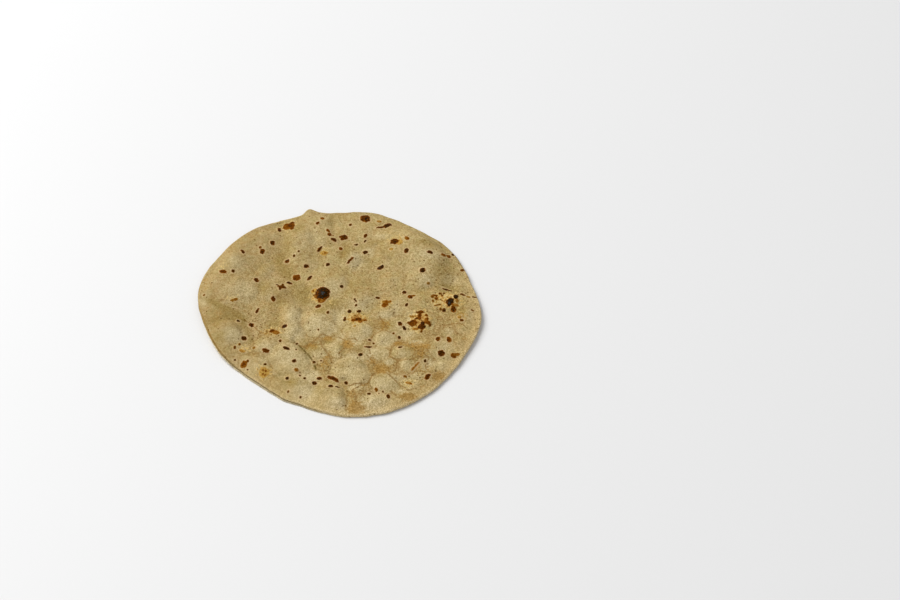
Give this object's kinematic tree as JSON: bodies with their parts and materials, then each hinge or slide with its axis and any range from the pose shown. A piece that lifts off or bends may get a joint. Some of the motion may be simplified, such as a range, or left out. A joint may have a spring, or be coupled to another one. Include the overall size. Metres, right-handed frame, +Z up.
{
  "type": "phulka flatbread",
  "caption": "Round unleavened wholewheat flatbread, dry-baked and puffed, then settled into low blisters, creases and char spots, with a thin slightly uneven edge.",
  "frame": {"origin": "middle of the bread's outline, on the surface it rests on", "axes": "+Z up from the table through the bread, +X along its widest extent, to the right as the picture shows it, +Y away from the viewer"},
  "size_m": [0.1692, 0.1612, 0.0077],
  "materials": {
    "baked_dough": "dry matt baked wholewheat dough, beige, with brown to black char spots"
  },
  "bodies": {
    "root": {"phulka": "baked_dough"}
  },
  "joints": []
}
